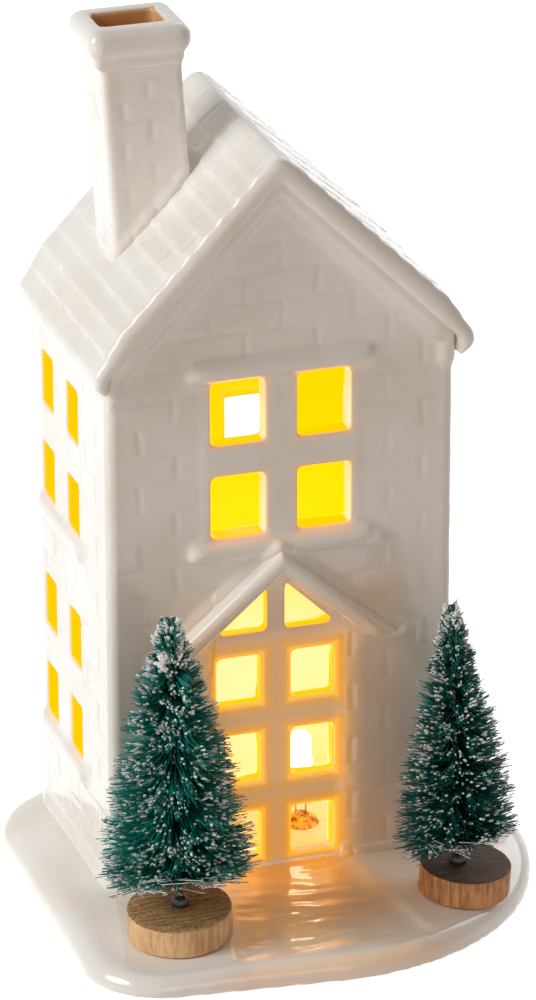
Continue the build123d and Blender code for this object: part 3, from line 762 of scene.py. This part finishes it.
def fibrePaint(bench):
    along = bench.node("ShaderNodeAttribute", {"attribute_name": "along"}, None, "Fac")
    shade = bench.node("ShaderNodeAttribute", {"attribute_name": "shade"}, None, "Fac")
    colour = shade.tint(fibre["green"], fibre["light"])
    colour = along.ease(0.1, 0.8).tint(fibre["shadow"], colour)
    return {"Base Color": colour, "Roughness": 0.28, "Specular IOR Level": 0.5}


def flockPaint(bench):
    place = objectPlace(bench)
    colour = noise(bench, place, 1.2).ease(*midTones).tint(linear(240, 243, 243), linear(252, 252, 251))
    return {"Base Color": colour, "Roughness": 0.85, "Normal": bump(bench, noise(bench, place, 0.25), 0.1)}


def wirePaint(bench):
    place = objectPlace(bench)
    dull = noise(bench, place, 1.5)
    return {
        "Base Color": dull.ease(*midTones).tint(linear(92, 94, 96), linear(150, 150, 150)),
        "Metallic": 0.85,
        "Roughness": dull.ease(*midTones, 0.3, 0.5),
    }


fibreFinish = makeFinish("green_fibre", fibrePaint)
flockFinish = makeFinish("snow_flock", flockPaint)
wireFinish = makeFinish("grey_wire", wirePaint)

bristles = {
    "left": {
        "Strands": 6800, "Tuft": 10.0, "Start": 5.0, "Height": 74.6, "Reach": 15.2,
        "Tip Reach": 3.0, "Taper": 1.6, "Foot Lift": 3.0, "Front Lift": 24.0, "Skirt Tilt": 0.0,
        "Tip Lift": 56.0, "Crowding": 1.2, "Droop": 2.0, "Foot Curve": 3.2, "Lift Curve": 2.4, "Shade": 1.0,
        "Thickness": 0.115, "Flock": 0.58, "Patch": (-4.4, -3.6, 64.0), "Patch Size": 3.0,
        "Strays": 90, "Seed": 11,
    },
    "right": {
        "Strands": 5400, "Tuft": 9.0, "Start": 4.0, "Height": 68.0, "Reach": 12.2,
        "Tip Reach": 2.4, "Taper": 1.5, "Foot Lift": 3.0, "Front Lift": 22.0, "Skirt Tilt": 9.0,
        # the right tree's lower Shade darkens its fibres: painted shade
        "Tip Lift": 56.0, "Crowding": 1.2, "Droop": 2.0, "Foot Curve": 2.0, "Lift Curve": 1.2, "Shade": 0.45,
        "Thickness": 0.115, "Flock": 0.36, "Patch": (0.0, 0.0, 90.0), "Patch Size": 1.0,
        "Strays": 26, "Seed": 23,
    },
}


spread = {  # random ranges in mm, radians for turns, degrees for lifts, and shares
    "level": (-0.45, 0.45), "tuftTurn": (-0.5, 0.5), "turn": (-0.24, 0.24), "tuftReach": (0.86, 1.08),
    "reach": (0.8, 1.02), "tuftLift": (-9.0, 9.0), "lift": (-5.0, 5.0), "tuftShade": (0.0, 0.7),
    "shade": (0.0, 0.3), "dabPlace": (0.78, 0.98), "dabWidth": (0.17, 0.36), "dabLength": (0.4, 1.15),
    "strayPlace": (0.74, 1.0), "strayLevel": (0.6, 4.0), "strayRise": (-0.25, 0.3), "strayOut": (-0.5, 0.7),
    "strayLength": (3.0, 8.0), "chance": (0.0, 1.0), "fullTurn": (0.0, 2 * math.pi),
}
strandNoise = {"wander": 1 / 160, "clump": 1 / 190}  # grain in metres
goldenAngle = math.pi * (3 - math.sqrt(5))


def randomValue(bench, label, index, seed):
    low, high = spread[label]
    inputs = {2: low, 3: high, "ID": index, "Seed": seed}
    return bench.node("FunctionNodeRandomValue", {"data_type": "FLOAT"}, inputs, 1)


def strandFields(bench, size):  # where each strand starts, how it points and how long it is, in mm
    index = bench.node("GeometryNodeInputIndex")
    seed = size["Seed"]
    tuft = (index / size["Tuft"]).floor()
    share = ((tuft + 0.5) * size["Tuft"] / size["Strands"]).least(1.0) ** size["Crowding"]
    span = size["Height"] - size["Start"] - 0.9 - size["Tip Reach"] * 0.7
    level = size["Start"] + 0.5 + span * share + randomValue(bench, "level", index, seed)
    turn = tuft * goldenAngle + randomValue(bench, "tuftTurn", tuft, seed + 1)
    turn = turn + randomValue(bench, "turn", index, seed + 2)
    cosine = bench.maths("COSINE", turn)
    sine = bench.maths("SINE", turn)
    reach = size["Reach"] * (1 - share ** size["Taper"]) + size["Tip Reach"]
    reach = reach * randomValue(bench, "tuftReach", tuft, seed + 3)
    reach = reach * randomValue(bench, "reach", index, seed + 4)
    foot = (1 - share) ** size["Foot Curve"]
    lift = size["Foot Lift"] + (size["Tip Lift"] - size["Foot Lift"]) * share ** size["Lift Curve"]
    skirt = size["Front Lift"] * abs(sine) + size["Skirt Tilt"] * cosine
    lift = lift + foot * skirt + randomValue(bench, "tuftLift", tuft, seed + 5) * (1 - foot)
    lift = (lift + randomValue(bench, "lift", index, seed + 6)) * (math.pi / 180)
    flat = bench.maths("COSINE", lift)
    aim = bench.vector(cosine * flat, sine * flat, bench.maths("SINE", lift))
    droop = size["Droop"] * (1 - foot * 0.7) * (0.5 + sine * sine * 1.5)
    return index, tuft, droop, bench.vector(0.0, 0.0, level * mm), aim, reach


def upAlong(bench, aim):
    return bench.node("FunctionNodeAlignRotationToVector", {"axis": "Z"}, {"Vector": aim})


def noted(bench, geometry, domain, name, value):  # a number kept on each strand or point
    kind = {"data_type": "FLOAT", "domain": domain}
    inputs = {"Geometry": geometry, "Name": name, "Value": value}
    return bench.node("GeometryNodeStoreNamedAttribute", kind, inputs)


def joined(bench, *parts):
    whole = bench.node("GeometryNodeJoinGeometry")
    for part in parts:
        bench.tree.links.new(part.socket, whole.socket.node.inputs["Geometry"])
    return whole


def strandPoints(bench, size, start):
    return bench.node("GeometryNodePoints", None, {"Count": size["Strands"], "Position": start})


def bristleRecipe(sizes, material):
    tree, bench, size = newRecipe("bristles", sizes)
    index, tuft, droop, start, aim, length = strandFields(bench, size)
    line = bench.node("GeometryNodeCurvePrimitiveLine", None, {"Start": (0, 0, 0), "End": (0, 0, 1)})
    line = bench.node("GeometryNodeResampleCurve", None, {"Curve": line, "Count": 4})
    inputs = {"Points": strandPoints(bench, size, start), "Instance": line, "Rotation": upAlong(bench, aim),
              "Scale": bench.vector(1.0, 1.0, length * mm)}
    strands = bench.node("GeometryNodeInstanceOnPoints", None, inputs)
    shade = randomValue(bench, "tuftShade", tuft, size["Seed"] + 7)
    shade = shade + randomValue(bench, "shade", index, size["Seed"] + 8)
    strands = noted(bench, strands, "INSTANCE", "shade", shade * size["Shade"])
    strands = noted(bench, strands, "INSTANCE", "sag", droop)
    strands = bench.node("GeometryNodeRealizeInstances", None, {"Geometry": strands})
    sag = bench.node("GeometryNodeInputNamedAttribute", {"data_type": "FLOAT"}, {"Name": "sag"})
    along = bench.node("GeometryNodeSplineParameter")
    place = bench.node("GeometryNodeInputPosition")
    wander = noise(bench, place, strandNoise["wander"], 1.0, "Color")
    wander = wander.plus((-0.5, -0.5, -0.5)).scaled(along * 3.0 * mm)
    drop = bench.vector(0.0, 0.0, along * along * sag * -mm)
    strands = bench.node("GeometryNodeSetPosition", None, {"Geometry": strands, "Offset": wander.plus(drop)})
    strands = noted(bench, strands, "POINT", "along", along)
    strands = bench.node("GeometryNodeSetCurveRadius", None, {"Curve": strands, "Radius": 1.0 - along * 0.35})
    section = {"Resolution": 3, "Radius": size["Thickness"] * mm}
    ring = bench.node("GeometryNodeCurvePrimitiveCircle", None, section)
    tube = {"Curve": strands, "Profile Curve": ring, "Fill Caps": True}
    endRecipe(bench.node("GeometryNodeCurveToMesh", None, tube), material)
    return tree


def flockRecipe(sizes, material):
    tree, bench, size = newRecipe("flock", sizes)
    index, _, droop, start, aim, length = strandFields(bench, size)
    seed = size["Seed"]
    out = length * randomValue(bench, "dabPlace", index, seed + 10)
    drop = bench.vector(0.0, 0.0, droop * -0.8 * mm)
    place = start.plus(aim.scaled(out * mm)).plus(drop)
    clump = noise(bench, place, strandNoise["clump"], 2.0)
    ends = {0: place, 1: size["Patch"].scaled(mm)}
    toPatch = bench.node("ShaderNodeVectorMath", {"operation": "DISTANCE"}, ends, "Value")
    patch = (toPatch * perMetre) < size["Patch Size"]
    nearTip = (place.axes()[2] * perMetre - size["Height"]).ease(-9.0, -3.0)
    chance = size["Flock"] * (clump.ease(0.4, 0.62, 0.25, 1.6) + nearTip)
    taken = (randomValue(bench, "chance", index, seed + 11) < chance).most(patch)
    dab = bench.node("GeometryNodeMeshIcoSphere", None, {"Radius": mm, "Subdivisions": 1})
    wide = randomValue(bench, "dabWidth", index, seed + 12) * (1 + patch * 0.9)
    tall = randomValue(bench, "dabLength", index, seed + 13)
    inputs = {"Points": strandPoints(bench, size, place), "Selection": taken, "Instance": dab,
              "Rotation": upAlong(bench, aim), "Scale": bench.vector(wide, wide, tall)}
    dabs = bench.node("GeometryNodeInstanceOnPoints", None, inputs)
    endRecipe(joined(bench, dabs, strayFibres(bench, size)), material)
    return tree


def strayFibres(bench, size):  # loose pale fibres that lie round the foot
    index = bench.node("GeometryNodeInputIndex")
    seed = size["Seed"]
    turn = randomValue(bench, "fullTurn", index, seed + 20)
    radius = size["Reach"] * randomValue(bench, "strayPlace", index, seed + 21)
    cosine = bench.maths("COSINE", turn)
    sine = bench.maths("SINE", turn)
    level = size["Start"] + randomValue(bench, "strayLevel", index, seed + 22) + radius * abs(sine) * 0.36
    place = bench.vector(cosine * radius, sine * radius, level).scaled(mm)
    around = bench.vector(sine * -1.0, cosine, randomValue(bench, "strayRise", index, seed + 23))
    outward = randomValue(bench, "strayOut", index, seed + 24)
    around = around.plus(bench.vector(cosine, sine, 0.0).scaled(outward))
    line = bench.node("GeometryNodeMeshCone", {"fill_type": "TRIANGLE_FAN"},
                      {"Vertices": 4, "Radius Top": 0.06 * mm, "Radius Bottom": 0.1 * mm, "Depth": mm})
    points = bench.node("GeometryNodePoints", None, {"Count": size["Strays"], "Position": place})
    inputs = {"Points": points, "Instance": line, "Rotation": upAlong(bench, around),
              "Scale": bench.vector(1.0, 1.0, randomValue(bench, "strayLength", index, seed + 25))}
    return bench.node("GeometryNodeInstanceOnPoints", None, inputs)


twist = {"Strand Radius": 0.43, "Pitch": 3.2, "Low": -4.5}


def wireRecipe(sizes, material):
    tree, bench, size = newRecipe("twisted_wire", sizes)
    turns = size["Length"] / size["Pitch"]
    radius = size["Strand Radius"] * mm
    spiral = {"Resolution": 14, "Rotations": turns, "Start Radius": radius, "End Radius": radius,
              "Height": size["Length"] * mm}
    line = bench.node("GeometryNodeCurveSpiral", None, spiral)
    ring = bench.node("GeometryNodeCurvePrimitiveCircle", None, {"Resolution": 8, "Radius": radius})
    one = bench.node("GeometryNodeCurveToMesh", None, {"Curve": line, "Profile Curve": ring, "Fill Caps": True})
    two = bench.node("GeometryNodeTransform", None, {"Geometry": one, "Rotation": (0.0, 0.0, math.pi)})
    endRecipe(joined(bench, one, two), material)
    return tree


trees = {
    "left": {"lean": -1.6, "stemDepth": 5.0, "foot": 5.0},
    "right": {"lean": -2.0, "stemDepth": 5.0, "foot": 4.0},
}


def treePlace(side):  # from a tree's own upright to its leaning place on the disc
    low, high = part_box(side + "_tree_stem")
    size = trees[side]
    tilt = Matrix.Rotation(math.radians(size["lean"]), 4, "Y")
    middle = tilt @ Vector((0, 0, (size["foot"] - size["stemDepth"]) / 2 * mm))
    return Matrix.Translation((low + high) / 2 - middle) @ tilt


def growPiece(name, tree, sizes, place):
    piece = newObject(name, bpy.data.meshes.new(name))
    addRecipe(piece, tree, sizes)
    settle(piece)
    piece.data.transform(place)
    return piece


bristleTree = bristleRecipe(bristles["left"], fibreFinish)
flockTree = flockRecipe(bristles["left"], flockFinish)
twistSizes = dict(twist, Length=70.0)
wireTree = wireRecipe(twistSizes, wireFinish)

for side in ("left", "right"):
    place = treePlace(side)
    sizes = bristles[side]
    node = side + "_tree_"
    piece = growPiece(node + "fibres", bristleTree, sizes, place)
    kept(piece, "root", "bristle_fibre", node + "bristles")
    piece = growPiece(node + "flock", flockTree, sizes, place)
    kept(piece, "root", "bristle_fibre", node + "bristles")
    wireSizes = dict(twist, Length=sizes["Height"] - 2.0 - twist["Low"])
    piece = growPiece(node + "wire", wireTree, wireSizes, place @ Matrix.Translation((0, 0, twist["Low"] * mm)))
    smoothShade(piece)
    kept(piece, "root", "stem_wire", node + "stem")
print("trees done")

# sawn discs
wood = {
    "top": linear(206, 162, 112), "topDark": linear(128, 92, 58),
    "side": linear(236, 194, 144), "sideDark": linear(198, 150, 102),
    "darkTop": linear(98, 66, 48), "darkTopDark": linear(50, 30, 22),
    "orangeSide": linear(214, 154, 100), "orangeSideDark": linear(148, 98, 58),
}


def woodPaint(bench):
    place = objectPlace(bench)
    x, y, z = place.axes()
    normal = bench.node("ShaderNodeNewGeometry", None, None, "Normal")
    onTop = normal.axes()[2].ease(0.5, 0.8)
    sawn = noise(bench, bench.vector(x * 0.12, y * 1.6, z), 0.8, 4.0)
    speckle = noise(bench, place, 0.7, 3.0)
    onRight = x.ease(0.0, 10.0)
    cut = (sawn * 0.6 + speckle * 0.4).ease(0.38, 0.62)
    top = onRight.tint(cut.tint(wood["topDark"], wood["top"]), cut.tint(wood["darkTopDark"], wood["darkTop"]))
    grain = noise(bench, bench.vector(x * 1.5, y * 1.5, z * 0.15), 1.0, 4.0)
    patch = noise(bench, place, 7.0, 2.0)
    split = (grain * 0.5 + patch * 0.5).ease(0.36, 0.62)
    pale = split.tint(wood["sideDark"], wood["side"])
    orange = split.tint(wood["orangeSideDark"], wood["orangeSide"])
    sides = onRight.tint(pale, orange)
    height = onTop * sawn + (1 - onTop) * grain
    return {
        "Base Color": onTop.tint(sides, top),
        "Roughness": 0.72,
        "Normal": bump(bench, height, 0.16),
    }


woodFinish = makeFinish("sawn_wood", woodPaint)
disc = {"voxel": 0.4, "passes": 3, "Wobble": 0.35, "Saw": 0.12}


def discRecipe(sizes, material):
    tree, bench, size = newRecipe("sawn_disc", sizes)
    place, normal = pointFields(bench)
    x, y, z = place.axes()
    nz = normal.axes()[2]
    wobble = noise(bench, bench.vector(x, y, z * 0.2), 6.25, 2.0)
    saw = noise(bench, bench.vector(x * 0.1, y, 0.0), 1 / 0.9)
    offset = (wobble - 1.0) * size["Wobble"] * (1 - abs(nz)) + (saw - 1.0) * size["Saw"] * nz.ease(0.4, 0.8)
    moveSkin(bench, size, normal, offset, material)
    return tree


discSizes = {"Wobble": disc["Wobble"], "Saw": disc["Saw"]}
discTree = discRecipe(discSizes, woodFinish)
for side in ("left", "right"):
    node = side + "_tree_disc"
    piece = softenedSolid(side + "_wood_disc", node, disc, [])
    addRecipe(piece, discTree, discSizes)
    settle(piece)
    smoothShade(piece)
    kept(piece, "root", "disc_wood", node)
print("discs done")


# light unit and glue keep their solids
def plasticPaint(colour, rough):
    def paint(bench):
        place = objectPlace(bench)
        mottle = noise(bench, place, 2.5)
        darker = tuple(channel * 0.86 for channel in colour[:3]) + (1.0,)
        return {
            "Base Color": mottle.ease(*midTones).tint(darker, colour),
            "Roughness": mottle.ease(*midTones, rough * 0.85, rough * 1.15),
            "Normal": bump(bench, noise(bench, place, 0.35), 0.02),
        }
    return paint


def metalPaint(colour, rough):
    def paint(bench):
        x, y, z = objectPlace(bench).axes()
        brushed = noise(bench, bench.vector(x * 0.1, y, z), 0.3, 4.0)
        darker = tuple(channel * 0.8 for channel in colour[:3]) + (1.0,)
        return {
            "Base Color": brushed.ease(*midTones).tint(darker, colour),
            "Metallic": 1.0,
            "Roughness": brushed.ease(*midTones, rough * 0.8, rough * 1.25),
        }
    return paint


def resinPaint(bench):
    place = objectPlace(bench)
    core = noise(bench, place, 3.0)
    return {
        "Base Color": core.ease(*midTones).tint(linear(255, 240, 200), linear(255, 250, 232)),
        "Roughness": 0.1,
        "Emission Color": core.ease(*midTones).tint(linear(255, 240, 190), linear(255, 250, 235)),
        "Emission Strength": 4.0,
    }


def amberPaint(bench):
    place = objectPlace(bench)
    cloud = noise(bench, place, 1.6)
    colour = cloud.ease(0.35, 0.65).tint(linear(120, 66, 10), linear(226, 160, 40))
    # painted glow of the lamp's light in the glue, as emission
    glow = cloud.ease(0.35, 0.65).tint((0.02, 0.008, 0.0, 1.0), (0.35, 0.16, 0.01, 1.0))
    return {"Base Color": colour, "Roughness": 0.25, "Emission Color": glow, "Emission Strength": 1.0,
            "Normal": bump(bench, cloud, 0.5)}


finishes = {
    "lamp_plastic": plasticPaint(linear(240, 240, 236), 0.42),
    "slider_plastic": plasticPaint(linear(34, 34, 36), 0.4),
    "contact_steel": metalPaint(linear(190, 188, 182), 0.32),
    "cell_steel": metalPaint(linear(205, 206, 208), 0.26),
    "board_laminate": plasticPaint(linear(150, 104, 52), 0.55),
    "dark_glue": plasticPaint(linear(52, 54, 58), 0.3),
    "led_resin": resinPaint,
    "hot_melt": amberPaint,
}
slotNodes = {
    "lamp_plastic": ["lamp_housing", "lamp_bottom_plate", "battery_cover"],
    "slider_plastic": ["switch_slider"],
    "contact_steel": ["plate_screws", "positive_contact", "negative_contact", "led_leads", "switch_body"],
    "cell_steel": ["coin_cell"],
    "board_laminate": ["circuit_board"],
    "dark_glue": ["left_tree_glue", "right_tree_glue"],
    "led_resin": ["led_lens"],
    "hot_melt": ["led_glue"],
}
for slot, nodes in slotNodes.items():
    finish = makeFinish(slot, finishes[slot])
    for node in nodes:
        setMaterial(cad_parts[node], finish)
print("light unit dressed")

# floor, world and lamps
stage = {
    "size": 6.0, "floor": linear(244, 244, 244), "floorGlow": 0.8,
    "sky": (1.0, 0.83, 0.69, 1.0), "skyLevel": 0.135,
}
lamps = {
    "key": {
        "place": (-0.95, -0.08, 0.66), "aim": (0.0, 0.01, 0.1),
        "size": 0.6, "power": 8.0, "colour": (0.97, 1.0, 1.02),
    },
    "fill": {
        "place": (-0.1, -1.2, 0.2), "aim": (0.0, 0.0, 0.06),
        "size": 0.8, "power": 2.1, "colour": (1.0, 0.74, 0.54),
    },
    "top": {
        "place": (0.8, 0.6, 0.8), "aim": (0.0, 0.0, 0.12),
        "size": 1.2, "power": 6.0, "colour": (0.92, 0.96, 1.0),
    },
    "under": {
        "place": (-0.25, -0.45, -0.7), "aim": (0.0, 0.0, 0.0),
        "size": 0.5, "power": 2.0, "colour": (1.0, 1.0, 1.0),
    },
}


def cameraLike(bench):  # rays that should see the white backdrop
    path = bench.node("ShaderNodeLightPath")
    return path.out("Is Camera Ray").most(path.out("Is Transmission Ray")).most(path.out("Is Glossy Ray"))


def floorPaint(bench):  # see-through from below
    return {
        "Base Color": stage["floor"],
        "Roughness": 0.9,
        "Specular IOR Level": 0.1,
        "Emission Color": cameraLike(bench).tint((0, 0, 0, 1), (1, 1, 1, 1)),
        "Emission Strength": stage["floorGlow"],
        "Alpha": 1 - bench.node("ShaderNodeNewGeometry", None, None, "Backfacing"),
    }


def makeFloor(size):
    mesh = bpy.data.meshes.new("floor")
    half = size["size"] / 2
    corners = [(-half, -half, 0), (half, -half, 0), (half, half, 0), (-half, half, 0)]
    mesh.from_pydata(corners, [], [(0, 1, 2, 3)])
    floor = newObject("floor", mesh)
    setMaterial(floor, makeFinish("floor", floorPaint))


def makeWorld(size):
    world = bpy.data.worlds.new("studio")
    scene.world = world
    world.use_nodes = True
    back = world.node_tree.nodes["Background"]
    bench = Wire(world.node_tree)
    seen = cameraLike(bench)
    colour = seen.tint(tuple(c * size["skyLevel"] for c in size["sky"][:3]) + (1.0,), (1, 1, 1, 1))
    bench.tree.links.new(colour.socket, back.inputs["Color"])


def makeLamp(name, lamp):
    data = bpy.data.lights.new(name, "AREA")
    data.shape = "DISK"
    data.size = lamp["size"]
    data.energy = lamp["power"]
    data.color = lamp["colour"]
    light = bpy.data.objects.new(name, data)
    scene.collection.objects.link(light)
    light.location = lamp["place"]
    aim = Vector(lamp["aim"]) - Vector(lamp["place"])
    light.rotation_euler = aim.to_track_quat("-Z", "Y").to_euler()


makeFloor(stage)
makeWorld(stage)
for name, lamp in lamps.items():
    makeLamp(name, lamp)
